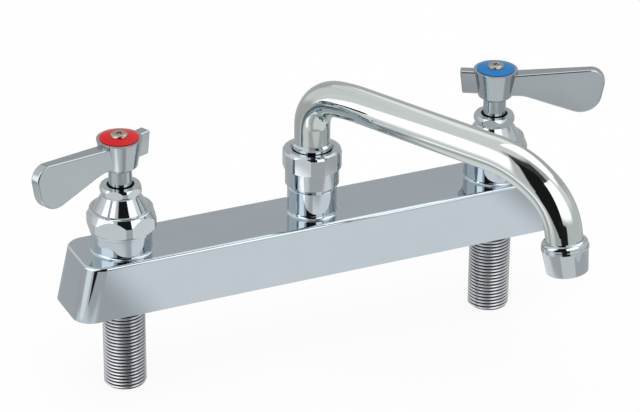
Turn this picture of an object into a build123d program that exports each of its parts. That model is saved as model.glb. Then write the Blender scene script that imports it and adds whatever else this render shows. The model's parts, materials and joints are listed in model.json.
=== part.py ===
from build123d import *
import os
from math import cos, radians, sin, tan

os.makedirs("parts", exist_ok=True)

# A workboard faucet for a sink deck, in millimetres.
# The origin is on the deck, midway between the two valves. +X runs from the hot valve to the cold one,
# -Y points to the user and +Z points up. Angles are seen from above, counter-clockwise from +X.

# Set-out
valve_spacing = 203.2      # 8 in between the valve axes
hot_lever_angle = 202.8    # pointing away from the spout and a little to the user
cold_lever_angle = -29.5
spout_angle = -63.0        # swung to the cold side of straight ahead
wrench_angle = -98.0       # direction of one corner of each valve's hexagon
swivel_wrench_angle = -103.0

# Fits
turn_gap = 0.05            # radial running clearance of what turns
thread_gap = 0.05          # radial, in every screwed or pushed joint
lap_gap = 0.02             # between two faces that slide on each other
axial_gap = 0.15           # end play and bottom clearance
match_gap = 0.01           # within which an edge counts as being at a radius and height

# Body casting
body_overhang = 30.2       # from a valve axis to the end of the body, at the deck
body_depth = 39.0          # at the deck
body_height = 28.2
end_lean = 12.3            # degrees that the two ends lean in
side_draft = 1.5           # degrees of draft on the long sides
body_corner_r = 9.5
body_edge_r = 1.6
seat_height = 8.0          # valve seats and gallery floor above the deck
gallery_width = 18.0
gallery_height = 12.0
gallery_corner_r = 3.0
valve_boss_r = 14.9
valve_boss_height = 9.8    # above the body
valve_boss_fillet = 1.3
spout_boss_r = 12.4
spout_boss_height = 14.0
spout_boss_fillet = 1.8
boss_chamfer = 0.5
riser_r = 6.2
spud_r = 11.6              # threaded neck that carries the spout
spud_height = 14.6
spud_chamfer = 0.8

# Inlet shanks, 1/2 in straight pipe thread
shank_r = 10.65
shank_bore_r = 6.6
shank_length = 46.4        # below the deck
shank_spigot_r = 9.4       # upper end, brazed into the body
shank_seat = 5.5           # depth of that end in the body
shank_chamfer = 1.1
shank_thread_top = 0.4     # end of the thread, just inside the body
shank_neck_r = 10.0        # plain neck between the thread and the seat
shank_step = -1.0          # height where the bore narrows to the inlet port
counterbore_r = 11.7       # relief in the underside round each shank
counterbore_depth = 0.8

# Cartridge in the valve chamber
chamber_r = 11.0
inlet_port_r = 5.2
sleeve_r = 9.4
sleeve_wall = 1.2
sleeve_collar_height = 2.0
sleeve_window_width = 9.0
seat_seal_hole_r = 5.6
seat_seal_height = 2.2
disc_height = 3.2
disc_port_angle = 70.0     # each of the two windows
disc_port_inner_r = 2.4
disc_port_outer_r = 6.4
disc_ear_width = 3.0
stem_foot_height = 3.4
drive_lug_width = 3.0
drive_lug_height = 1.2
thrust_washer_height = 1.0
stem_r = 4.4
stem_ring_height = 30.5    # of the O-ring above the deck
stem_ring_section_r = 0.9
stem_shoulder = 66.0       # height at which the handle sits on the stem
stem_drive_r = 3.6
stem_drive_length = 12.0

# Wrench corners, turned down at the top
corner_slope = 1.75        # rise of the turned cone for each mm across

# Bonnet
bonnet_thread_r = 12.0
bonnet_thread_length = 12.0
bonnet_flange_r = 15.6
bonnet_flange_height = 1.2
bonnet_hex_flats = 31.6
bonnet_turned_r = 17.4     # corners turned down
bonnet_hex_height = 9.2    # at the middle of a flat
bonnet_bead_drop = 0.9     # from the bead to the middle of a flat
bonnet_bead_r = 15.6
bonnet_bead_height = 0.8
bonnet_bead_edge = 0.25
bonnet_cone_base_r = 13.6
bonnet_cone_height = 7.1
bonnet_neck_r = 9.5
bonnet_neck_height = 0.8
bonnet_seal_section_r = 0.8
bonnet_seal_depth = 2.6    # below the top of the boss

# Packing nut, gland and packing
packing_nut_flats = 19.2
packing_nut_turned_r = 10.4
packing_nut_height = 4.2
packing_nut_mouth_r = 6.8
stub_r = 8.2               # threaded end of the bonnet inside the nut
stub_height = 2.2
packing_r = 7.0
packing_height = 2.4
gland_height = 1.6
gland_stand = 0.6          # gland above the stub

# Lever handle
hub_top = 86.6             # above the deck
rim_r = 11.1
rim_height = 0.5
hub_lower_r = 8.3
hub_bottom = 70.7
hub_chamfer = 1.7
neck_r = 5.75
neck_gap = 0.4             # from the gland up to the neck
dial_recess = 1.2
blade_top_root = 83.7      # height of the blade's top on the valve axis
blade_top_tip = 90.0       # and at its end
blade_reach_top = 56.6     # end of the blade from the valve axis, before its corners are rounded
blade_reach_low = 51.5
blade_low = 62.4
blade_root = 14.9
blade_root_low = 73.5
blade_top_corner_r = 7.0
blade_low_corner_r = 11.0
blade_root_corner_r = 16.0
blade_root_thickness = 8.6
blade_tip_thickness = 5.0
blade_edge_r = 0.8
tab_top = 85.6
tab_reach_top = 18.0
tab_reach_low = 16.5
tab_low = 73.6
tab_thickness = 6.0
tab_edge_r = 0.9

# Index disc and handle screw
index_r = 9.65
index_height = 1.5         # at its edge
index_crown = 1.2          # rise of its domed face
screw_head_r = 4.2
screw_head_height = 1.6
screw_head_round = 1.2
screw_r = 2.4
screw_length = 16.0

# Swivel nut and what it holds down
swivel_gap = 0.9           # skirt above the spout boss
skirt_r = 13.5
skirt_height = 9.3
skirt_chamfer = 0.7
swivel_hex_flats = 28.4
swivel_turned_r = 14.8
swivel_hex_height = 9.6     # at the middle of a flat
swivel_shoulder_r = 12.9
swivel_shoulder_height = 0.6
swivel_mouth_gap = 0.7     # round the ring
slide_washer_height = 1.0
foot_r = 8.2               # spigot of the spout's foot
foot_bore_r = 5.2
foot_length = 9.5
foot_flange_r = 11.2
foot_flange_height = 2.2
foot_socket_height = 6.0
foot_ring_section_r = 0.9
foot_ring_depth = 2.4      # of the upper O-ring below the spud's end
foot_ring_pitch = 4.2
ring_r = 10.1
ring_flange_height = 1.0
ring_stand = 3.2           # ring above the nut
ring_chamfer = 1.0

# Spout tube, bent in one vertical plane
tube_r = 8.95
tube_wall = 1.2
spout_rise = 74.7          # height at which the tube leaves the vertical
first_bend_r = 18.2
first_bend_turn = 82.5
crown_bend_r = 88.7
crown_bend_turn = 8.9
arm_length = 79.6
shoulder_bend_r = 53.4
shoulder_bend_turn = 33.0
drop_bend_r = 28.4
drop_length = 11.8         # straight tube after the last bend
outlet_tilt = 9.0          # degrees that the outlet points away from the body

# Aerator
aerator_r = 11.1
aerator_foot_r = 10.0
aerator_socket = 8.0       # height of the shell above the end of the tube
aerator_shoulder_height = 3.2
aerator_shoulder_r = 2.4
aerator_rim_height = 1.2
aerator_rim_stand = 0.3
aerator_foot_edge = 0.5
aerator_lip = 0.9
aerator_lip_height = 1.0
aerator_washer_height = 1.6
aerator_washer_hole_r = 6.8
flow_disc_height = 4.9
flow_disc_hole_r = 0.8
flow_disc_hole_count = 10
flow_disc_hole_ring_r = 5.0
screen_height = 0.8

# Sizes that follow from the values above
body_length = valve_spacing + 2 * body_overhang
boss_top = body_height + valve_boss_height
sleeve_top = boss_top - bonnet_thread_length
hex_base = boss_top + bonnet_flange_height
hex_top = hex_base + bonnet_hex_height
bead_base = hex_top + bonnet_bead_drop
bead_top = bead_base + bonnet_bead_height
cone_top = bead_top + bonnet_cone_height
nut_base = cone_top + bonnet_neck_height
nut_top = nut_base + packing_nut_height
stub_top = nut_base + stub_height
gland_top = stub_top + gland_stand
packing_top = gland_top - gland_height
packing_base = packing_top - packing_height
neck_bottom = gland_top + neck_gap
disc_base = seat_height + seat_seal_height
disc_top = disc_base + disc_height
turning_base = disc_top + lap_gap
stem_base = turning_base + disc_height
thrust_base = stem_base + stem_foot_height
thrust_top = thrust_base + thrust_washer_height
dial_floor = hub_top - dial_recess
index_top = dial_floor + index_height
index_dome_r = (index_r**2 + index_crown**2) / (2 * index_crown)
screw_seat = index_top + index_crown - screw_head_r**2 / (2 * index_dome_r)
stem_top = stem_shoulder + stem_drive_length
spout_boss_top = body_height + spout_boss_height
skirt_base = spout_boss_top + swivel_gap
swivel_hex_base = skirt_base + skirt_height
swivel_hex_top = swivel_hex_base + swivel_hex_height
swivel_top = swivel_hex_top + swivel_shoulder_height
spud_top = spout_boss_top + spud_height
slide_washer_top = spud_top + slide_washer_height
flange_base = slide_washer_top + lap_gap
flange_top = flange_base + foot_flange_height
ring_base = flange_top + axial_gap
ring_flange_top = ring_base + ring_flange_height

# Radii that follow
sleeve_bore_r = sleeve_r - sleeve_wall
disc_r = sleeve_bore_r - turn_gap
stem_bore_r = stem_r + turn_gap
bonnet_flat_r = bonnet_hex_flats / 2
tube_bore_r = tube_r - tube_wall
aerator_bore_r = tube_r + thread_gap


def turned(points):
    """A solid of revolution from (radius, height) points round the vertical axis."""
    outline = Polyline([(r, 0, z) for r, z in points], close=True)
    return revolve(make_face(outline), Axis.Z)


def rod(radius, low, high):
    """A vertical cylinder between two heights."""
    return Pos(0, 0, low) * Cylinder(radius, high - low, align=(Align.CENTER, Align.CENTER, Align.MIN))


def washer(outer_r, inner_r, low, high):
    return rod(outer_r, low, high) - rod(inner_r, low, high)


def bar(length, width, low, high, angle=0.0):
    """A bar lying across the vertical axis."""
    box = Box(length, width, high - low, align=(Align.CENTER, Align.CENTER, Align.MIN))
    return Pos(0, 0, low) * Rot(0, 0, angle) * box


def seal_ring(outer_r, section_r, height):
    """An O-ring by its outer radius."""
    return Pos(0, 0, height) * Torus(outer_r - section_r, section_r)


def ring_groove(outer_r, section_r, height):
    """The groove for an O-ring that lies flush in a cylinder of that radius."""
    half = section_r + axial_gap
    return washer(2 * outer_r, outer_r - 2 * section_r, height - half, height + half)


def hexagon(flats, corner_angle, low, high):
    """A hexagonal bar by its width across flats, with one corner turned to an angle."""
    corner_r = flats / 2 / cos(radians(30))
    return Pos(0, 0, low) * extrude(Rot(0, 0, corner_angle) * RegularPolygon(corner_r, 6), high - low)


def disc_ports(low, high, first_angle, outer_r):
    """Two opposite windows of a ceramic disc, as one solid to cut away."""
    reach = 2 * outer_r
    half_width = reach * tan(radians(disc_port_angle / 2))
    wedge = Polyline((0, 0), (reach, -half_width), (reach, half_width), close=True)
    sector = Pos(0, 0, low) * extrude(make_face(wedge), high - low)
    pair = Rot(0, 0, first_angle) * sector + Rot(0, 0, first_angle + 180) * sector
    return pair & washer(outer_r, disc_port_inner_r, low, high)


# Body casting
def circles_at(solid, radius, height):
    """The circular edges of one radius at one height."""
    return [
        edge for edge in solid.edges().filter_by(GeomType.CIRCLE)
        if abs(edge.radius - radius) < match_gap and abs(edge.arc_center.Z - height) < match_gap
    ]


def make_body():
    top_length = body_length - 2 * body_height * tan(radians(end_lean))
    top_depth = body_depth - 2 * body_height * tan(radians(side_draft))
    outline_low = RectangleRounded(body_length, body_depth, body_corner_r)
    outline_high = Pos(0, 0, body_height) * RectangleRounded(top_length, top_depth, body_corner_r)
    body = loft([outline_low, outline_high], ruled=True)
    body = fillet(body.edges().group_by(Axis.Z)[-1], body_edge_r)
    valve_places = [Pos(-valve_spacing / 2, 0, 0), Pos(valve_spacing / 2, 0, 0)]
    for place in valve_places:
        body += place * rod(valve_boss_r, seat_height, boss_top)
    body += rod(spout_boss_r, seat_height, spout_boss_top)
    body = fillet(circles_at(body, spout_boss_r, body_height), spout_boss_fillet)
    body = fillet(circles_at(body, valve_boss_r, body_height), valve_boss_fillet)
    rims = circles_at(body, valve_boss_r, boss_top) + circles_at(body, spout_boss_r, spout_boss_top)
    body = chamfer(rims, boss_chamfer)
    spud = rod(spud_r, spout_boss_top, spud_top)
    body += chamfer(circles_at(spud, spud_r, spud_top), spud_chamfer)

    gallery = Box(valve_spacing, gallery_width, gallery_height, align=(Align.CENTER, Align.CENTER, Align.MIN))
    body -= Pos(0, 0, seat_height) * fillet(gallery.edges().filter_by(Axis.X), gallery_corner_r)
    for place in valve_places:
        body -= place * rod(counterbore_r, 0, counterbore_depth)
        body -= place * rod(shank_spigot_r, 0, shank_seat)
        body -= place * rod(inlet_port_r, 0, seat_height)
        body -= place * rod(chamber_r, seat_height, boss_top)
        body -= place * rod(bonnet_thread_r + thread_gap, sleeve_top, boss_top)
    body -= rod(riser_r, seat_height, spud_top)
    body -= rod(foot_r + turn_gap, spud_top - foot_length - axial_gap, spud_top)
    return body


def make_shank():
    shank = rod(shank_r, -shank_length, shank_thread_top)
    shank = chamfer(circles_at(shank, shank_r, -shank_length), shank_chamfer)
    shank += rod(shank_neck_r, shank_thread_top, counterbore_depth)
    shank += rod(shank_spigot_r, counterbore_depth, shank_seat)
    shank -= rod(shank_bore_r, -shank_length, shank_step)
    return shank - rod(inlet_port_r, shank_step, shank_seat)


# Cartridge: a seal under two lapped ceramic discs, turned by the foot of the stem
def make_sleeve():
    sleeve = rod(sleeve_r, seat_height, sleeve_top)
    sleeve += rod(chamber_r - thread_gap, sleeve_top - sleeve_collar_height, sleeve_top)
    sleeve -= rod(sleeve_bore_r, seat_height, thrust_top)
    sleeve -= rod(stem_bore_r, thrust_top, sleeve_top)
    sleeve -= bar(3 * sleeve_r, sleeve_window_width, stem_base, thrust_base)
    return sleeve - bar(3 * sleeve_r, disc_ear_width + 2 * thread_gap, seat_height, disc_top, 90)


def make_fixed_disc():
    ears = bar(3 * sleeve_r, disc_ear_width, disc_base, disc_top, 90) & rod(sleeve_r, disc_base, disc_top)
    return rod(disc_r, disc_base, disc_top) + ears - disc_ports(disc_base, disc_top, 0, disc_port_outer_r)


def make_turning_disc():
    disc = rod(disc_r, turning_base, stem_base) - disc_ports(turning_base, stem_base, 90, disc_port_outer_r)
    return disc - bar(3 * disc_r, drive_lug_width + 2 * turn_gap, stem_base - drive_lug_height, stem_base)


def make_stem():
    stem = rod(disc_r, stem_base, thrust_base) - disc_ports(stem_base, thrust_base, 90, 2 * disc_r)
    lug_low = stem_base - drive_lug_height + lap_gap
    stem += bar(3 * disc_r, drive_lug_width, lug_low, stem_base) & rod(disc_r, lug_low, stem_base)
    stem += rod(stem_r, stem_base, stem_shoulder) + rod(stem_drive_r, stem_shoulder, stem_top)
    stem -= ring_groove(stem_r, stem_ring_section_r, stem_ring_height)
    return stem - rod(screw_r, screw_seat - screw_length - axial_gap, stem_top)


# Bonnet, gland and packing nut
def make_bonnet():
    turn_down = bonnet_turned_r - bonnet_flat_r
    bonnet = turned([
        (0, sleeve_top), (bonnet_thread_r, sleeve_top), (bonnet_thread_r, boss_top),
        (bonnet_flange_r, boss_top), (bonnet_flange_r, hex_base), (bonnet_flat_r, hex_base),
        (bonnet_turned_r, hex_base + turn_down), (bonnet_turned_r, hex_top - turn_down * corner_slope),
        (bonnet_flat_r - bonnet_bead_drop / corner_slope, bead_base), (bonnet_bead_r - bonnet_bead_edge, bead_base),
        (bonnet_bead_r, bead_base + bonnet_bead_edge), (bonnet_bead_r, bead_top - bonnet_bead_edge),
        (bonnet_bead_r - bonnet_bead_edge, bead_top), (bonnet_cone_base_r, bead_top),
        (bonnet_neck_r, cone_top), (bonnet_neck_r, nut_base), (stub_r, nut_base), (stub_r, stub_top),
        (0, stub_top),
    ])
    bonnet = bonnet & hexagon(bonnet_hex_flats, wrench_angle, sleeve_top, stub_top)
    bonnet -= ring_groove(bonnet_thread_r, bonnet_seal_section_r, boss_top - bonnet_seal_depth)
    bonnet -= rod(packing_r, packing_base, stub_top)
    return bonnet - rod(stem_bore_r, sleeve_top, packing_base)


def make_packing_nut():
    flat_r = packing_nut_flats / 2
    turn_down = packing_nut_turned_r - flat_r
    nut = turned([
        (0, nut_base), (flat_r, nut_base), (packing_nut_turned_r, nut_base + turn_down),
        (packing_nut_turned_r, nut_top - turn_down * corner_slope), (flat_r, nut_top), (0, nut_top),
    ])
    nut = nut & hexagon(packing_nut_flats, wrench_angle, nut_base, nut_top)
    nut -= rod(stub_r + thread_gap, nut_base, gland_top)
    return nut - rod(packing_nut_mouth_r, gland_top, nut_top)


# Lever handle, pointing along +X
def make_blade():
    corners = [
        (0, blade_root_low), (blade_root, blade_root_low), (blade_reach_low, blade_low),
        (blade_reach_top, blade_top_tip), (0, blade_top_root),
    ]
    radii = [0, blade_root_corner_r, blade_low_corner_r, blade_top_corner_r, 0]
    side = make_face(Polyline(corners, close=True))
    for (x, y), radius in zip(corners, radii):
        if radius:
            side = fillet(side.vertices().sort_by_distance((x, y))[0], radius)
    blade = Plane.XZ * extrude(side, blade_root_thickness / 2, both=True)
    plan = make_face(Polyline(
        (0, -blade_root_thickness / 2), (blade_reach_top, -blade_tip_thickness / 2),
        (blade_reach_top, blade_tip_thickness / 2), (0, blade_root_thickness / 2), close=True,
    ))
    blade = blade & Pos(0, 0, blade_low) * extrude(plan, blade_top_tip - blade_low)
    rounded = [edge for edge in blade.edges() if edge.center().X > 1 and abs(edge.tangent_at(0.5).Y) < 0.9]
    return fillet(rounded, blade_edge_r)


def make_tab():
    side = make_face(Polyline(
        (0, tab_low), (-tab_reach_low, tab_low), (-tab_reach_top, tab_top), (0, tab_top), close=True,
    ))
    tab = Plane.XZ * extrude(side, tab_thickness / 2, both=True)
    return fillet([edge for edge in tab.edges() if edge.center().X < -1], tab_edge_r)


def make_lever():
    hub = turned([
        (0, neck_bottom), (neck_r, neck_bottom), (neck_r, hub_bottom), (hub_lower_r, hub_bottom),
        (rim_r, hub_top - rim_height), (rim_r, hub_top), (0, hub_top),
    ])
    hub = chamfer(circles_at(hub, hub_lower_r, hub_bottom), hub_chamfer)
    lever = hub + make_blade() + make_tab()
    lever -= rod(index_r, dial_floor, hub_top)
    lever -= rod(stem_r, neck_bottom, stem_shoulder)
    lever -= rod(stem_drive_r, stem_shoulder, stem_top)
    return lever - rod(screw_r + thread_gap, stem_top, dial_floor)


def make_index():
    dome = Pos(0, 0, index_top + index_crown - index_dome_r) * Sphere(index_dome_r)
    disc = rod(index_r, dial_floor, screw_seat) & dome
    return disc - rod(screw_r + thread_gap, dial_floor, screw_seat)


def make_screw():
    head = rod(screw_head_r, screw_seat, screw_seat + screw_head_height)
    head = fillet(circles_at(head, screw_head_r, screw_seat + screw_head_height), screw_head_round)
    return head + rod(screw_r, screw_seat - screw_length, screw_seat)


# Spout joint
def make_swivel_nut():
    flat_r = swivel_hex_flats / 2
    turn_down = swivel_turned_r - flat_r
    nut = turned([
        (0, skirt_base), (skirt_r - skirt_chamfer, skirt_base), (skirt_r, skirt_base + skirt_chamfer),
        (skirt_r, swivel_hex_base), (flat_r, swivel_hex_base), (swivel_turned_r, swivel_hex_base + turn_down),
        (swivel_turned_r, swivel_hex_top - turn_down * corner_slope), (flat_r, swivel_hex_top),
        (swivel_shoulder_r, swivel_top), (0, swivel_top),
    ])
    nut = nut & hexagon(swivel_hex_flats, swivel_wrench_angle, skirt_base, swivel_top)
    nut -= rod(spud_r + thread_gap, skirt_base, ring_flange_top)
    return nut - rod(ring_r + swivel_mouth_gap, ring_flange_top, swivel_top)


def make_swivel_ring():
    ring_top = swivel_top + ring_stand
    ring = rod(spud_r, ring_base, ring_flange_top) + rod(ring_r, ring_flange_top, ring_top)
    ring = chamfer(circles_at(ring, ring_r, ring_top), ring_chamfer)
    return ring - rod(tube_r + turn_gap, ring_base, ring_top)


def make_spout_foot():
    foot = rod(foot_r, spud_top - foot_length, flange_base) + rod(foot_flange_r, flange_base, flange_top)
    foot += rod(tube_bore_r, flange_top, flange_top + foot_socket_height)
    for height in foot_ring_heights:
        foot -= ring_groove(foot_r, foot_ring_section_r, height)
    return foot - rod(foot_bore_r, spud_top - foot_length, flange_top + foot_socket_height)


foot_ring_heights = [spud_top - foot_ring_depth, spud_top - foot_ring_depth - foot_ring_pitch]


# Spout tube, drawn with X as reach and Y as height and then stood up at the spout's angle
spout_plane = Plane(
    (0, 0, 0), x_dir=(cos(radians(spout_angle)), sin(radians(spout_angle)), 0),
    z_dir=(sin(radians(spout_angle)), -cos(radians(spout_angle)), 0),
)


def spout_path():
    bends = [(first_bend_r, first_bend_turn), (crown_bend_r, crown_bend_turn)]
    drops = [(shoulder_bend_r, shoulder_bend_turn)]
    drops.append((drop_bend_r, 180 - outlet_tilt - first_bend_turn - crown_bend_turn - shoulder_bend_turn))
    path = [Line((0, flange_top), (0, spout_rise))]
    for radius, turn in bends:
        path.append(JernArc(path[-1] @ 1, path[-1] % 1, radius, -turn))
    path.append(Line(path[-1] @ 1, path[-1] @ 1 + arm_length * (path[-1] % 1)))
    for radius, turn in drops:
        path.append(JernArc(path[-1] @ 1, path[-1] % 1, radius, -turn))
    path.append(Line(path[-1] @ 1, path[-1] @ 1 + drop_length * (path[-1] % 1)))
    return Wire(path)


def make_spout_tube():
    section = Plane((0, 0, flange_top)) * (Circle(tube_r) - Circle(tube_bore_r))
    return sweep(section, path=spout_plane * path)


path = spout_path()
tube_end = path @ 1

# Aerator, built upright with the end of the tube at height zero and then moved to the outlet
aerator_washer_base = -aerator_washer_height
flow_disc_base = aerator_washer_base - flow_disc_height
screen_base = flow_disc_base - screen_height


def make_aerator_shell():
    low = screen_base - aerator_lip_height
    rim_top = aerator_socket - aerator_shoulder_height
    rim_low = rim_top - aerator_rim_height
    shell = turned([
        (0, low), (aerator_foot_r - aerator_foot_edge, low), (aerator_foot_r, low + aerator_foot_edge),
        (aerator_r, rim_low), (aerator_r + aerator_rim_stand, rim_low), (aerator_r + aerator_rim_stand, rim_top),
        (aerator_r, rim_top), (aerator_r, aerator_socket), (0, aerator_socket),
    ])
    shell = fillet(circles_at(shell, aerator_r, aerator_socket), aerator_shoulder_r - aerator_rim_stand)
    shell -= rod(aerator_bore_r, screen_base, aerator_socket)
    return shell - rod(aerator_bore_r - aerator_lip, low, screen_base)


def make_flow_disc():
    disc = rod(tube_r, flow_disc_base, aerator_washer_base)
    for place in PolarLocations(flow_disc_hole_ring_r, flow_disc_hole_count):
        disc -= place * rod(flow_disc_hole_r, flow_disc_base, aerator_washer_base)
    return disc


# Nodes
nodes = {
    "body_casting": make_body(),
    "swivel_nut": make_swivel_nut(),
    "swivel_ring": make_swivel_ring(),
    "slide_washer": washer(foot_flange_r, foot_r + turn_gap, spud_top, slide_washer_top),
    "spout_foot": make_spout_foot(),
    "spout_tube": make_spout_tube(),
}
for number, height in enumerate(foot_ring_heights, start=1):
    nodes[f"spout_foot_ring_{number}"] = seal_ring(foot_r, foot_ring_section_r, height)

outlet = Rot(0, 0, spout_angle) * Pos(tube_end.X, 0, tube_end.Y) * Rot(0, -outlet_tilt, 0)
nodes["aerator_shell"] = outlet * make_aerator_shell()
nodes["aerator_washer"] = outlet * washer(tube_r, aerator_washer_hole_r, aerator_washer_base, 0)
nodes["flow_disc"] = outlet * make_flow_disc()
nodes["aerator_screen"] = outlet * rod(tube_r, screen_base, flow_disc_base)

for side, x, lever_angle in (
    ("hot", -valve_spacing / 2, hot_lever_angle), ("cold", valve_spacing / 2, cold_lever_angle),
):
    pieces = {
        "shank": make_shank(),
        "seat_seal": washer(disc_r, seat_seal_hole_r, seat_height, disc_base),
        "fixed_disc": make_fixed_disc(),
        "turning_disc": make_turning_disc(),
        "stem": make_stem(),
        "stem_ring": seal_ring(stem_r, stem_ring_section_r, stem_ring_height),
        "thrust_washer": washer(disc_r, stem_bore_r, thrust_base + lap_gap, thrust_top),
        "cartridge_sleeve": make_sleeve(),
        "bonnet": make_bonnet(),
        "bonnet_seal": seal_ring(bonnet_thread_r, bonnet_seal_section_r, boss_top - bonnet_seal_depth),
        "packing_ring": washer(packing_r, stem_bore_r, packing_base, packing_top),
        "gland": washer(packing_r - thread_gap, stem_bore_r, packing_top, gland_top),
        "packing_nut": make_packing_nut(),
        "lever_handle": Rot(0, 0, lever_angle) * make_lever(),
        "index_disc": make_index(),
        "handle_screw": make_screw(),
    }
    for name, piece in pieces.items():
        nodes[f"{side}_{name}"] = Pos(x, 0, 0) * piece

for name, solid in nodes.items():
    export_step(solid, f"parts/{name}.step")
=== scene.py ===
import json
from math import cos, pi, radians, sin

import bmesh
import bpy
from mathutils import Matrix, Vector


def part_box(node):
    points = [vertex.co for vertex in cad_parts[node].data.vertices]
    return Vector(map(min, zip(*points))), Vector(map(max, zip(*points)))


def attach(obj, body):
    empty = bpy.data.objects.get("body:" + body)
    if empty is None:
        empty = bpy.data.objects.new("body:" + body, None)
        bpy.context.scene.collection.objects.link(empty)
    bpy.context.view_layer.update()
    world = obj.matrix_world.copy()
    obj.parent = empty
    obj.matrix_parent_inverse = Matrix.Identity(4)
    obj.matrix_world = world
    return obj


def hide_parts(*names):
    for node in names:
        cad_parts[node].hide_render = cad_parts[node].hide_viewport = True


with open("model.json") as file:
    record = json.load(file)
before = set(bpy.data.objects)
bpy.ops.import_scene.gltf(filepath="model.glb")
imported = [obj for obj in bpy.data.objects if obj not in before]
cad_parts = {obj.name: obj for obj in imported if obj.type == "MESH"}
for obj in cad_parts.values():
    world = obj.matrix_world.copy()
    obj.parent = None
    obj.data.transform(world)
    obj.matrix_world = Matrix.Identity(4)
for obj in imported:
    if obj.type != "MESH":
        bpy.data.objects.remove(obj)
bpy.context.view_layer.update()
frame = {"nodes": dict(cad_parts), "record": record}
nodes = frame["nodes"]
collection = bpy.context.scene.collection
sides = {"hot": -0.1016, "cold": 0.1016}  # where each valve stands along X, 8 in apart, in metres


def linear(code):  # hex sRGB to linear RGBA
    parts = [int(code[i:i + 2], 16) / 255 for i in (0, 2, 4)]
    return [c / 12.92 if c <= 0.04045 else ((c + 0.055) / 1.055) ** 2.4 for c in parts] + [1]


# An input is a value, a socket, or another node, which gives its first output
def addNode(tree, kind, settings=None, inputs=None):
    if not kind.startswith(("Geometry", "Function")):
        kind = "ShaderNode" + kind
    node = tree.nodes.new(kind)
    for key, value in (settings or {}).items():
        setattr(node, key, value)
    for key, value in (inputs or {}).items():
        if isinstance(value, bpy.types.Node):
            value = value.outputs[0]
        if isinstance(value, bpy.types.NodeSocket):
            tree.links.new(value, node.inputs[key])
        else:
            node.inputs[key].default_value = value
    return node


# Finishes. The tone wanders from light to dark over patches of so many millimetres, as buffing, moulding or
# handling leave it. What is finer than that is too small to show here, and is in the roughness.
plainFinish = {"metallic": 0.0, "specular": 0.5, "haze": 0.0, "patch": 16.7, "detail": 4.0}
finishLook = {
    # Bright chrome plate over a buffed brass casting: wide calm reflections, a little blue, nearly a mirror
    "buffedBodyChrome": {
        "light": "C0CAD0", "dark": "B9C3CA", "roughness": 0.03, "haze": 0.02, "metallic": 1.0, "patch": 22.2,
        "detail": 3.0},
    # The same plate over turned bar: sharp bands of black and white on the cones, beads and hexagons
    "turnedChrome": {
        "light": "C4CBCF", "dark": "BDC5C9", "roughness": 0.02, "haze": 0.02, "metallic": 1.0, "patch": 22.2,
        "detail": 3.0},
    # Chrome over a tumbled lever casting: greyer, and its reflections are soft at the edges
    "tumbledLeverChrome": {
        "light": "AEB6BA", "dark": "A7AFB3", "roughness": 0.10, "haze": 0.05, "metallic": 1.0, "patch": 22.2,
        "detail": 3.0},
    # Chrome over drawn brass tube: a long clean streak, a trace of green from the room
    "drawnTubeChrome": {
        "light": "C5CBCA", "dark": "BFC6C4", "roughness": 0.02, "haze": 0.02, "metallic": 1.0, "patch": 22.2,
        "detail": 3.0},
    # Cold-headed stainless screw: warmer and duller than the chrome round it
    "headedStainless": {"light": "B9B2A6", "dark": "9E9688", "roughness": 0.26, "metallic": 1.0},
    # Woven stainless wire: grey, with a short glint on each crossing
    "wovenStainless": {"light": "A9A9A9", "dark": "8F8F8F", "roughness": 0.35, "metallic": 1.0},
    # Moulded index rings: flat strong colour with hardly any gloss
    "redMouldedNylon": {"light": "C30F14", "dark": "B40C11", "roughness": 0.3, "specular": 0.12},
    "blueMouldedNylon": {"light": "0F6FB0", "dark": "0C629E", "roughness": 0.3, "specular": 0.12},
    # Machined brass of the inner parts: yellow, with broad highlights
    "machinedBrass": {"light": "C9A24E", "dark": "B68F40", "roughness": 0.28, "metallic": 1.0},
    # Brass down in the mouth of a packing nut, painted near black as the shade in that recess: reads as a
    # dark ring
    "nutMouthShadeBrass": {"light": "2A241A", "dark": "17130D", "roughness": 0.5, "metallic": 1.0},
    # Lapped alumina discs: off-white, satin
    "lappedAlumina": {"light": "E9E7DF", "dark": "DDDACF", "roughness": 0.35},
    # Natural nylon washers and flow disc: milky and soft in gloss
    "naturalNylon": {"light": "E4E1D6", "dark": "D8D4C8", "roughness": 0.45},
    # Graphite packing: dull dark grey
    "graphitePacking": {"light": "4E4B49", "dark": "3C3A38", "roughness": 0.7},
    # Nitrile O-rings and seals: black, with a broad dim sheen
    "nitrileRubber": {"light": "1A1A1A", "dark": "242424", "roughness": 0.6},
}


def makeFinish(name):
    look = plainFinish | finishLook[name]
    made = bpy.data.materials.new(name)
    made.use_nodes = True
    tree = made.node_tree
    surface = tree.nodes["Principled BSDF"]
    coords = addNode(tree, "TexCoord").outputs["Object"]
    cloud = addNode(tree, "TexNoise", inputs={
        "Vector": coords, "Scale": 1000 / look["patch"], "Detail": look["detail"]})
    tone = addNode(tree, "Mix", {"data_type": "RGBA"}, {
        0: cloud.outputs["Fac"], 6: linear(look["light"]), 7: linear(look["dark"])})
    tree.links.new(tone.outputs[2], surface.inputs["Base Color"])
    surface.inputs["Metallic"].default_value = look["metallic"]
    surface.inputs["Specular IOR Level"].default_value = look["specular"]
    surface.inputs["Roughness"].default_value = look["roughness"]
    if look["haze"]:  # roughness grows by this much in the darker patches
        haze = addNode(tree, "MapRange", inputs={
            "Value": cloud.outputs["Fac"],
            "To Min": look["roughness"], "To Max": look["roughness"] + look["haze"]})
        tree.links.new(haze.outputs["Result"], surface.inputs["Roughness"])
    return made


# Cut thread on plated steel: bright crests, and grooves painted dark with shade
threadLook = {
    "root": 0.00982, "crest": 0.01040,        # radii between which the groove turns bright, in metres
    "light": "E6E8EA", "shade": "CBCED3", "groove": "2E2A30",
    "roughness": 0.16, "patch": 11.1, "detail": 3.0,
}


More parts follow.
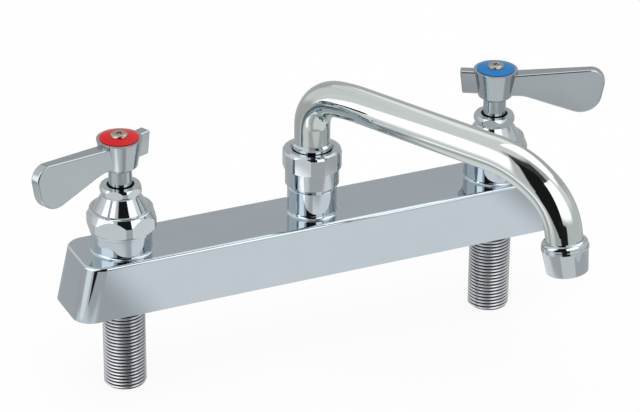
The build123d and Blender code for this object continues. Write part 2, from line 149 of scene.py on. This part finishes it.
def makeThreadFinish():
    made = bpy.data.materials.new("cutThreadSteel")
    made.use_nodes = True
    tree = made.node_tree
    surface = tree.nodes["Principled BSDF"]
    coords = addNode(tree, "TexCoord").outputs["Object"]
    place = addNode(tree, "SeparateXYZ", inputs={"Vector": coords}).outputs
    across = addNode(tree, "Math", {"operation": "ABSOLUTE"}, {0: place["X"]})  # both shanks share the finish
    local = addNode(tree, "Math", {"operation": "SUBTRACT"}, {0: across, 1: sides["cold"]})
    flat = addNode(tree, "CombineXYZ", inputs={"X": local, "Y": place["Y"]})
    radius = addNode(tree, "VectorMath", {"operation": "LENGTH"}, {0: flat}).outputs["Value"]
    height = addNode(tree, "MapRange", {"interpolation_type": "SMOOTHSTEP"}, {
        "Value": radius, "From Min": threadLook["root"], "From Max": threadLook["crest"]})
    cloud = addNode(tree, "TexNoise", inputs={
        "Vector": coords, "Scale": 1000 / threadLook["patch"], "Detail": threadLook["detail"]})
    crest = addNode(tree, "Mix", {"data_type": "RGBA"}, {
        0: cloud.outputs["Fac"], 6: linear(threadLook["light"]), 7: linear(threadLook["shade"])})
    # painted shade: the colour darkens from the crest radius down to the groove colour at the root
    tone = addNode(tree, "Mix", {"data_type": "RGBA"}, {
        0: height, 6: linear(threadLook["groove"]), 7: crest.outputs[2]})
    tree.links.new(tone.outputs[2], surface.inputs["Base Color"])
    surface.inputs["Metallic"].default_value = 1.0
    surface.inputs["Roughness"].default_value = threadLook["roughness"]
    return made


finishes = {name: makeFinish(name) for name in finishLook}
finishes["cutThreadSteel"] = makeThreadFinish()

# The record's slots, and the finish that each gets
finishOf = {
    "body_chrome": "buffedBodyChrome", "chrome": "turnedChrome", "cast_chrome": "tumbledLeverChrome",
    "tube_chrome": "drawnTubeChrome", "threaded_steel": "cutThreadSteel", "screw_steel": "headedStainless",
    "screen_steel": "wovenStainless", "index_red": "redMouldedNylon", "index_blue": "blueMouldedNylon",
    "brass": "machinedBrass", "ceramic": "lappedAlumina", "nylon": "naturalNylon",
    "packing": "graphitePacking", "black_rubber": "nitrileRubber",
}
for part in frame["record"]["subparts"]:
    mesh = nodes[part["node"]].data
    mesh.materials.clear()
    mesh.materials.append(finishes[finishOf[part["material_slot"]]])
# The glands sit in the mouths of the packing nuts and take the brass painted dark with the shade there
for side in sides:
    nodes[side + "_gland"].data.materials[0] = finishes["nutMouthShadeBrass"]
print("finishes", len(finishes))


def turnedMesh(name, outline, around):  # closed solid of revolution from (radius, height) points in metres
    onAxis = 1e-7
    points, faces, rows = [], [], []
    for r, z in outline:
        if r < onAxis:
            rows.append([len(points)])
            points.append((0, 0, z))
            continue
        rows.append([len(points) + i for i in range(around)])
        for i in range(around):
            turn = 2 * pi * i / around
            points.append((r * cos(turn), r * sin(turn), z))
    for low, high in zip(rows, rows[1:] + rows[:1]):
        if len(low) == 1 and len(high) == 1:
            continue
        for i in range(around):
            j = (i + 1) % around
            ring = [low[i % len(low)], low[j % len(low)], high[j % len(high)], high[i % len(high)]]
            faces.append(list(dict.fromkeys(ring)))
    mesh = bpy.data.meshes.new(name)
    mesh.from_pydata(points, [], faces)
    shell = bmesh.new()
    shell.from_mesh(mesh)
    bmesh.ops.recalc_face_normals(shell, faces=shell.faces)
    shell.to_mesh(mesh)
    shell.free()
    made = bpy.data.objects.new(name, mesh)
    collection.objects.link(made)
    return made


def smoothBy(piece, angle):  # smooth shading, with edges sharper than the angle kept, in degrees
    piece.data.shade_smooth()
    piece.data.set_sharp_from_angle(angle=radians(angle))


def geometryTree(name, inputs):  # a node tree with named number inputs, its input sockets and its output
    tree = bpy.data.node_groups.new(name, "GeometryNodeTree")
    tree.interface.new_socket(name="Geometry", in_out="INPUT", socket_type="NodeSocketGeometry")
    for key, value in inputs.items():
        socket = tree.interface.new_socket(name=key, in_out="INPUT", socket_type="NodeSocketFloat")
        socket.default_value = value
    tree.interface.new_socket(name="Material", in_out="INPUT", socket_type="NodeSocketMaterial")
    tree.interface.new_socket(name="Geometry", in_out="OUTPUT", socket_type="NodeSocketGeometry")
    return tree, tree.nodes.new("NodeGroupInput").outputs, tree.nodes.new("NodeGroupOutput").inputs[0]


def closeTree(tree, shape, finish, result):  # every tree ends in a plain mesh with its material
    whole = addNode(tree, "GeometryNodeRealizeInstances", inputs={"Geometry": shape})
    dressed = addNode(tree, "GeometryNodeSetMaterial", inputs={"Geometry": whole, "Material": finish})
    tree.links.new(dressed.outputs[0], result)


def applyTree(piece, tree, values):  # runs the tree on the piece and keeps the plain mesh
    modifier = piece.modifiers.new(tree.name, "NODES")
    modifier.node_group = tree
    for item in tree.interface.items_tree:
        if item.in_out == "INPUT" and item.name in values:
            modifier[item.identifier] = values[item.name]
    bpy.context.view_layer.update()
    ready = piece.evaluated_get(bpy.context.evaluated_depsgraph_get())
    mesh = bpy.data.meshes.new_from_object(ready)
    piece.modifiers.remove(modifier)
    piece.data = mesh
    piece.data.materials.clear()
    piece.data.materials.append(values["Material"])


# Threaded shanks, in metres: 14 threads to the inch, the crest at the CAD radius
shank = {
    "crest": 0.01065, "depth": 0.00098, "pitch": 0.0254 / 14,
    "flank": (0.1, 0.95),     # share of the half pitch where the groove starts and where it is at its depth
    "wall": 0.0085,           # only what lies outside this radius is cut
    "closing": 1e-6,          # the last row of points stays uncut and closes the thread
    "end": -0.0464, "chamfer": 0.0011, "chamferSteps": (0, 0.34, 0.67), "threadTop": 0.0004,
    "neck": 0.0100, "neckTop": 0.0008, "spigot": 0.0094, "top": 0.0055,
    "bore": 0.0066, "port": 0.0052, "step": -0.0010,
    "rowsPerPitch": 9, "around": 96, "sharp": 50,
}


def makeThreadTree(sizes):
    tree, given, result = geometryTree("threadCut", sizes)
    place = addNode(tree, "SeparateXYZ", inputs={0: addNode(tree, "GeometryNodeInputPosition")}).outputs
    angle = addNode(tree, "Math", {"operation": "ARCTAN2"}, {0: place["Y"], 1: place["X"]})
    turn = addNode(tree, "Math", {"operation": "DIVIDE"}, {0: angle, 1: 2 * pi})
    climb = addNode(tree, "Math", {"operation": "DIVIDE"}, {0: place["Z"], 1: given["Pitch"]})
    along = addNode(tree, "Math", {"operation": "SUBTRACT"}, {0: climb, 1: turn})
    phase = addNode(tree, "Math", {"operation": "FRACT"}, {0: along})
    centred = addNode(tree, "Math", {"operation": "SUBTRACT"}, {0: phase, 1: 0.5})
    doubled = addNode(tree, "Math", {"operation": "MULTIPLY"}, {0: centred, 1: 2.0})
    ridge = addNode(tree, "Math", {"operation": "ABSOLUTE"}, {0: doubled})  # 0 on the crest, 1 in the root
    groove = addNode(tree, "MapRange", {"interpolation_type": "SMOOTHSTEP"}, {
        "Value": ridge, "From Min": shank["flank"][0], "From Max": shank["flank"][1]})
    deep = addNode(tree, "Math", {"operation": "MULTIPLY"}, {0: groove, 1: given["Depth"]})
    cut = addNode(tree, "Math", {"operation": "SUBTRACT"}, {0: given["Crest"], 1: deep})
    flat = addNode(tree, "CombineXYZ", inputs={0: place["X"], 1: place["Y"]})
    radius = addNode(tree, "VectorMath", {"operation": "LENGTH"}, {0: flat}).outputs["Value"]
    kept = addNode(tree, "Math", {"operation": "MINIMUM"}, {0: cut, 1: radius})
    ratio = addNode(tree, "Math", {"operation": "DIVIDE"}, {0: kept, 1: radius})
    nearX = addNode(tree, "Math", {"operation": "MULTIPLY"}, {0: place["X"], 1: ratio})
    nearY = addNode(tree, "Math", {"operation": "MULTIPLY"}, {0: place["Y"], 1: ratio})
    moved = addNode(tree, "CombineXYZ", inputs={0: nearX, 1: nearY, 2: place["Z"]})
    outer = addNode(tree, "Math", {"operation": "GREATER_THAN"}, {0: radius, 1: given["Wall"]})
    below = addNode(tree, "Math", {"operation": "LESS_THAN"}, {0: place["Z"], 1: given["Thread Top"]})
    chosen = addNode(tree, "FunctionNodeBooleanMath", {"operation": "AND"}, {0: outer, 1: below})
    shaped = addNode(tree, "GeometryNodeSetPosition", inputs={
        "Geometry": given["Geometry"], "Selection": chosen, "Position": moved})
    closeTree(tree, shaped, given["Material"], result)
    return tree


def makeShanks():
    crest, end, bevel, top = shank["crest"], shank["end"], shank["chamfer"], shank["threadTop"]
    sizes = {
        "Crest": crest, "Depth": shank["depth"], "Pitch": shank["pitch"],
        "Thread Top": top - shank["closing"], "Wall": shank["wall"],
    }
    tree = makeThreadTree(sizes)
    cutLength = top - end - bevel
    count = round(cutLength / shank["pitch"] * shank["rowsPerPitch"])
    nose = [(shank["bore"], end)]
    nose += [(crest - bevel * (1 - share), end + bevel * share) for share in shank["chamferSteps"]]
    wall = [(crest, end + bevel + cutLength * i / count) for i in range(count + 1)]
    head = [
        (shank["neck"], top), (shank["neck"], shank["neckTop"]), (shank["spigot"], shank["neckTop"]),
        (shank["spigot"], shank["top"]), (shank["port"], shank["top"]), (shank["port"], shank["step"]),
        (shank["bore"], shank["step"]),
    ]
    for side, place in sides.items():
        piece = turnedMesh(side + "ShankThread", nose + wall + head, shank["around"])
        applyTree(piece, tree, sizes | {"Material": finishes["cutThreadSteel"]})
        piece.data.transform(Matrix.Translation((place, 0, 0)))
        smoothBy(piece, shank["sharp"])
        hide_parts(side + "_shank")
        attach(piece, "faucet_body")


makeShanks()
print("shanks")

# Handle screws, in metres: pan head with a cross recess
screw = {
    "headRadius": 0.0042, "headHeight": 0.0016, "edgeRound": 0.0012, "shaftRadius": 0.0024,
    "crown": 0.0003,          # rise of the head's face towards its middle
    "slotLength": 0.0019, "slotWidth": 0.00042, "slotDepth": 0.0011, "slotEdge": 0.00018,
    "turn": {"hot": 20, "cold": 35},          # how each screw stopped, in degrees
    "around": 144, "rings": 56, "sharp": 40,
}


def recess(x, y):  # depth of the cross at a point of the head
    share = 0
    for along, across in ((x, y), (y, x)):
        inLength = (screw["slotLength"] - abs(along)) / (2 * screw["slotEdge"])
        inWidth = (screw["slotWidth"] + screw["slotEdge"] - abs(across)) / screw["slotEdge"]
        share = max(share, min(1, max(0, inLength)) * min(1, max(0, inWidth)))
    return share * screw["slotDepth"]


def makeScrew(side):
    low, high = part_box(side + "_handle_screw")
    middle = (low + high) / 2
    rim, edge, count = screw["headRadius"], screw["edgeRound"], screw["rings"]
    seat, face = high.z - screw["headHeight"], high.z - screw["crown"]
    outline = [(0, low.z), (screw["shaftRadius"], low.z), (screw["shaftRadius"], seat), (rim, seat)]
    for i in range(count + 1):
        r = rim * (1 - i / count)
        fall = edge - max(0, edge ** 2 - max(0, r - rim + edge) ** 2) ** 0.5
        outline.append((r, face + screw["crown"] * (1 - (r / rim) ** 2) - fall))
    piece = turnedMesh(side + "CrossScrew", outline, screw["around"])
    turn = radians(screw["turn"][side])
    for point in piece.data.vertices:
        if point.co.z > seat + edge / 2:
            x = point.co.x * cos(turn) + point.co.y * sin(turn)
            y = point.co.y * cos(turn) - point.co.x * sin(turn)
            point.co.z -= recess(x, y)
    piece.data.transform(Matrix.Translation((middle.x, middle.y, 0)))
    piece.data.materials.append(finishes["headedStainless"])
    smoothBy(piece, screw["sharp"])
    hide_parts(side + "_handle_screw")
    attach(piece, side + "_handle")


for side in sides:
    makeScrew(side)
print("screws")

# Aerator screen, in metres: plain-woven wire, cut to the disc
screen = {
    "radius": 0.0088, "pitch": 0.0009,
    "wire": 0.00013,          # radius of a wire
    "weave": 0.00019,         # how far a wire swings to each side at a crossing
    "step": 0.00018, "wireSides": 6, "sharp": 60,
    "spoutAngle": -63.0,      # where the spout points, seen from above, in degrees
    "tilt": 9.0,              # lean of the outlet off the vertical, in degrees
}


def addWires(tree, given, sign):  # parallel wires along X, each waving over and under the other set
    radius, pitch = screen["radius"], screen["pitch"]
    count = 2 * int(radius / pitch) + 1
    rows = addNode(tree, "GeometryNodeMeshLine", inputs={
        "Count": count, "Start Location": (0, -(count - 1) / 2 * pitch, 0), "Offset": (0, pitch, 0)})
    line = addNode(tree, "GeometryNodeCurvePrimitiveLine", inputs={
        "Start": (-radius, 0, 0), "End": (radius, 0, 0)})
    fine = addNode(tree, "GeometryNodeResampleCurve", inputs={
        "Curve": line, "Count": int(2 * radius / screen["step"])})
    wires = addNode(tree, "GeometryNodeInstanceOnPoints", inputs={"Points": rows, "Instance": fine})
    whole = addNode(tree, "GeometryNodeRealizeInstances", inputs={"Geometry": wires})
    position = addNode(tree, "GeometryNodeInputPosition")
    place = addNode(tree, "SeparateXYZ", inputs={0: position}).outputs
    diagonal = addNode(tree, "Math", {"operation": "ADD"}, {0: place["X"], 1: place["Y"]})
    steps = addNode(tree, "Math", {"operation": "DIVIDE"}, {0: diagonal, 1: given["Pitch"]})
    angle = addNode(tree, "Math", {"operation": "MULTIPLY"}, {0: steps, 1: pi})
    wave = addNode(tree, "Math", {"operation": "COSINE"}, {0: angle})
    swing = addNode(tree, "Math", {"operation": "MULTIPLY"}, {0: wave, 1: given["Weave"]})
    lift = addNode(tree, "Math", {"operation": "MULTIPLY"}, {0: swing, 1: sign})
    offset = addNode(tree, "CombineXYZ", inputs={2: lift})
    waved = addNode(tree, "GeometryNodeSetPosition", inputs={"Geometry": whole, "Offset": offset})
    reach = addNode(tree, "VectorMath", {"operation": "LENGTH"}, {0: position}).outputs["Value"]
    outside = addNode(tree, "Math", {"operation": "GREATER_THAN"}, {0: reach, 1: given["Radius"]})
    trimmed = addNode(tree, "GeometryNodeDeleteGeometry", {"domain": "POINT"}, {
        "Geometry": waved, "Selection": outside})
    ring = addNode(tree, "GeometryNodeCurvePrimitiveCircle", inputs={
        "Resolution": screen["wireSides"], "Radius": given["Wire"]})
    return addNode(tree, "GeometryNodeCurveToMesh", inputs={
        "Curve": trimmed, "Profile Curve": ring, "Fill Caps": True})


def makeScreen():
    sizes = {
        "Radius": screen["radius"], "Pitch": screen["pitch"],
        "Wire": screen["wire"], "Weave": screen["weave"],
    }
    tree, given, result = geometryTree("wovenWire", sizes)
    crossways = addNode(tree, "GeometryNodeTransform", inputs={
        "Geometry": addWires(tree, given, -1.0), "Rotation": (0, 0, pi / 2)})
    both = addNode(tree, "GeometryNodeJoinGeometry")
    tree.links.new(crossways.outputs[0], both.inputs[0])
    tree.links.new(addWires(tree, given, 1.0).outputs[0], both.inputs[0])
    closeTree(tree, both, given["Material"], result)
    piece = bpy.data.objects.new("wovenScreen", bpy.data.meshes.new("wovenScreen"))
    collection.objects.link(piece)
    applyTree(piece, tree, sizes | {"Material": finishes["wovenStainless"]})
    low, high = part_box("aerator_screen")
    swing = Matrix.Rotation(radians(screen["spoutAngle"]), 4, "Z")
    lean = Matrix.Rotation(radians(-screen["tilt"]), 4, "Y")
    piece.data.transform(Matrix.Translation((low + high) / 2) @ swing @ lean)
    smoothBy(piece, screen["sharp"])
    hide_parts("aerator_screen")
    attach(piece, "spout")


makeScreen()
print("screen")

# Camera, from a fit of the photograph's measured points: metres, degrees and millimetres of lens
cameraFit = {
    "target": (0.0045, 0.0, 0.0289), "distance": 1.501,
    "azimuth": -24.83, "elevation": 26.33, "roll": 0.39,
    "sensor": 36.0, "lens": 168.75, "near": 0.05, "far": 60.0,
}
target = Vector(cameraFit["target"])


def makeCamera():
    azimuth, elevation, roll = (radians(cameraFit[key]) for key in ("azimuth", "elevation", "roll"))
    back = Vector((sin(azimuth) * cos(elevation), -cos(azimuth) * cos(elevation), sin(elevation)))
    right = Vector((cos(azimuth), sin(azimuth), 0))
    up = back.cross(right)
    right, up = right * cos(roll) + up * sin(roll), up * cos(roll) - right * sin(roll)
    camera = bpy.data.objects.new("camera", bpy.data.cameras.new("camera"))
    camera.data.sensor_width = cameraFit["sensor"]
    camera.data.lens = cameraFit["lens"]
    camera.data.clip_start = cameraFit["near"]
    camera.data.clip_end = cameraFit["far"]
    camera.matrix_world = Matrix((right, up, back)).transposed().to_4x4()
    camera.location = target + back * cameraFit["distance"]
    collection.objects.link(camera)
    bpy.context.scene.camera = camera


makeCamera()


def rangeMask(tree, value, low, high, soft):  # 1 between low and high, with soft edges
    rise = addNode(tree, "MapRange", {"interpolation_type": "SMOOTHSTEP"}, {
        "Value": value, "From Min": low - soft / 2, "From Max": low + soft / 2})
    fall = addNode(tree, "MapRange", {"interpolation_type": "SMOOTHSTEP"}, {
        "Value": value, "From Min": high - soft / 2, "From Max": high + soft / 2,
        "To Min": 1.0, "To Max": 0.0})
    return addNode(tree, "Math", {"operation": "MULTIPLY"}, {0: rise, 1: fall})


# Light tent round the faucet, seen only by what is glossy: soft boxes, shades, and dark slits between them
tent = {
    "radius": 0.40, "segments": 96, "rings": 32,
    "foot": -16.0,            # elevation of its lower edge, in degrees
    "seam": 110.0,            # azimuths are counted from here, so a panel may run past 360
    "base": 0.60,             # brightness of the bare cloth
    # azimuths, elevations, softness across and up, lean of the sides, all in degrees, then brightness
    "panels": {
        "backLeft": ((112, 164), (12, 75), (12, 12), 0.0, 0.95),
        "backGlow": ((382, 432), (46, 95), (14, 10), 0.0, 1.3),
        "backHigh": ((428, 480), (50, 95), (10, 8), 0.0, 1.0),
        "crown": ((100, 480), (70, 100), (8, 8), 0.0, 1.0),
        "leftFlank": ((158, 214), (4, 72), (8, 8), 0.0, 1.0),
        "lowLeft": ((176, 207), (-30, 6), (8, 4), 0.0, 1.15),
        "rightLow": ((262, 358), (-30, 26), (6, 10), 0.0, 0.77),
        "rightFlank": ((262, 332), (21, 50), (8, 12), 0.0, 1.05),
        "window": ((316, 382), (42, 88), (10, 8), 0.0, 1.9),
        "leftBox": ((161, 198), (4, 56), (6, 14), 0.4, 2.0),
        "leftShade": ((199, 220), (-30, 60), (4, 6), 0.4, 0.78),
        "rightBox": ((264, 306), (15, 50), (6, 8), 0.0, 1.9),
        "highSlit": ((225, 289), (49, 67), (5, 5), 0.0, 0.07),
        "slitLeft": ((208, 240), (-30, 56), (3, 3), 0.4, 0.015),
        "slitRight": ((228, 266), (-30, 54), (3, 3), 0.0, 0.015),
        "slitFoot": ((250, 277), (-30, 10), (3, 3), 0.0, 0.02),
    },
}


def makeTentCloth():
    made = bpy.data.materials.new("tentCloth")
    made.use_nodes = True
    tree = made.node_tree
    tree.nodes.clear()
    coords = addNode(tree, "TexCoord").outputs["Object"]
    place = addNode(tree, "SeparateXYZ", inputs={"Vector": coords}).outputs
    angle = addNode(tree, "Math", {"operation": "ARCTAN2"}, {0: place["Y"], 1: place["X"]})
    turn = addNode(tree, "Math", {"operation": "DEGREES"}, {0: angle})
    fromSeam = addNode(tree, "Math", {"operation": "SUBTRACT"}, {0: turn, 1: tent["seam"]})
    wrapped = addNode(tree, "Math", {"operation": "FLOORED_MODULO"}, {0: fromSeam, 1: 360.0})
    azimuth = addNode(tree, "Math", {"operation": "ADD"}, {0: wrapped, 1: tent["seam"]})
    sine = addNode(tree, "Math", {"operation": "DIVIDE"}, {0: place["Z"], 1: tent["radius"]})
    rise = addNode(tree, "Math", {"operation": "ARCSINE"}, {0: sine})
    elevation = addNode(tree, "Math", {"operation": "DEGREES"}, {0: rise})
    level = tent["base"]
    for across, upward, soft, lean, bright in tent["panels"].values():
        leant = addNode(tree, "Math", {"operation": "MULTIPLY_ADD"}, {0: elevation, 1: -lean, 2: azimuth})
        mask = addNode(tree, "Math", {"operation": "MULTIPLY"}, {
            0: rangeMask(tree, leant, *across, soft[0]), 1: rangeMask(tree, elevation, *upward, soft[1])})
        level = addNode(tree, "Mix", {"data_type": "FLOAT"}, {0: mask, 2: level, 3: bright})
    glow = addNode(tree, "Emission", inputs={"Color": (1, 1, 1, 1), "Strength": level})
    addNode(tree, "OutputMaterial", inputs={"Surface": glow})
    return made


def makeTent():
    foot, count, rings, radius = radians(tent["foot"]), tent["segments"], tent["rings"], tent["radius"]
    points, faces = [], []
    for j in range(rings):
        rise = foot + (pi / 2 - foot) * j / rings
        for i in range(count):
            turn = 2 * pi * i / count
            across = radius * cos(rise)
            points.append((across * cos(turn), across * sin(turn), radius * sin(rise)))
    points.append((0, 0, radius))
    for j in range(rings):
        for i in range(count):
            here, after = j * count + i, j * count + (i + 1) % count
            above = (after + count, here + count) if j < rings - 1 else (rings * count,)
            faces.append((here, after, *above))
    mesh = bpy.data.meshes.new("tent")
    mesh.from_pydata(points, [], faces)
    mesh.materials.append(makeTentCloth())
    dome = bpy.data.objects.new("tent", mesh)
    collection.objects.link(dome)
    dome.visible_camera = False
    dome.visible_diffuse = False
    dome.visible_shadow = False
    dome.visible_transmission = False


makeTent()

# Floor paper at the ends of the shanks, in metres: white to the camera, and to the chrome a map of painted
# pools of light
floorLook = {
    "height": -0.0464, "reach": 3.0, "albedo": "E9E9E8",
    "shadow": 0.10,           # share of the real shading that the camera still sees
    "base": 0.58,             # brightness of the paper outside the pools, as a glossy surface sees it
    # x range, y range and softness of the edge, then brightness
    "pools": {
        "frontPool": ((-0.062, 0.178), (-0.182, 0.02), 0.03, 1.0),
        "leftPool": ((-0.40, -0.12), (-0.175, 0.08), 0.05, 0.93),
        "leftSpot": ((-0.205, -0.155), (-0.11, -0.02), 0.012, 1.7),
        "farPool": ((-0.12, 0.14), (-0.42, -0.245), 0.02, 0.87),
    },
}


def makeFloorPaper():
    made = bpy.data.materials.new("floorPaper")
    made.use_nodes = True
    tree = made.node_tree
    tree.nodes.clear()
    coords = addNode(tree, "TexCoord").outputs["Object"]
    place = addNode(tree, "SeparateXYZ", inputs={"Vector": coords}).outputs
    level = floorLook["base"]
    # painted light: each pool brightens the glow that glossy rays see on the floor
    for rangeX, rangeY, soft, bright in floorLook["pools"].values():
        mask = addNode(tree, "Math", {"operation": "MULTIPLY"}, {
            0: rangeMask(tree, place["X"], *rangeX, soft), 1: rangeMask(tree, place["Y"], *rangeY, soft)})
        level = addNode(tree, "Mix", {"data_type": "FLOAT"}, {0: mask, 2: level, 3: bright})
    paper = addNode(tree, "BsdfDiffuse", inputs={"Color": linear(floorLook["albedo"])})
    white = addNode(tree, "Emission", inputs={"Color": (1, 1, 1, 1), "Strength": 1.0})
    cameraSees = addNode(tree, "MixShader", inputs={0: floorLook["shadow"], 1: white, 2: paper})
    chromeSees = addNode(tree, "Emission", inputs={"Color": (1, 1, 1, 1), "Strength": level})
    ray = addNode(tree, "LightPath").outputs
    first = addNode(tree, "MixShader", inputs={0: ray["Is Camera Ray"], 1: paper, 2: cameraSees})
    mirrored = addNode(tree, "Math", {"operation": "MAXIMUM"}, {
        0: ray["Is Glossy Ray"], 1: ray["Is Transmission Ray"]})
    both = addNode(tree, "MixShader", inputs={0: mirrored, 1: first, 2: chromeSees})
    addNode(tree, "OutputMaterial", inputs={"Surface": both})
    return made


def makeFloor():
    r, z = floorLook["reach"], floorLook["height"]
    mesh = bpy.data.meshes.new("floor")
    mesh.from_pydata([(-r, -r, z), (r, -r, z), (r, r, z), (-r, r, z)], [], [(0, 1, 2, 3)])
    mesh.materials.append(makeFloorPaper())
    floor = bpy.data.objects.new("floor", mesh)
    collection.objects.link(floor)


makeFloor()

# Room light: a white world, a little dimmer to everything but the camera, and two soft lamps
roomLight = {
    "world": 0.75, "backdrop": 1.0,
    # place and size in metres, power in watts
    "lamps": {
        "topLamp": ((-0.15, -0.25, 0.9), 0.7, 4.0),
        "backLamp": ((0.5, 0.6, 0.8), 0.6, 2.5),
    },
}


def makeRoom():
    world = bpy.data.worlds.new("studio")
    bpy.context.scene.world = world
    world.use_nodes = True
    tree = world.node_tree
    backdrop = tree.nodes["Background"]
    backdrop.inputs["Color"].default_value = (1, 1, 1, 1)
    level = addNode(tree, "MapRange", inputs={
        "Value": addNode(tree, "LightPath").outputs["Is Camera Ray"],
        "To Min": roomLight["world"], "To Max": roomLight["backdrop"]})
    tree.links.new(level.outputs["Result"], backdrop.inputs["Strength"])
    for name, (spot, size, power) in roomLight["lamps"].items():
        lamp = bpy.data.objects.new(name, bpy.data.lights.new(name, "AREA"))
        lamp.data.size = size
        lamp.data.energy = power
        lamp.location = spot
        lamp.rotation_euler = (target - Vector(spot)).to_track_quat("-Z", "Y").to_euler()
        lamp.visible_camera = False
        lamp.visible_glossy = False
        collection.objects.link(lamp)


makeRoom()
bpy.context.scene.view_settings.view_transform = "Standard"
print("studio")
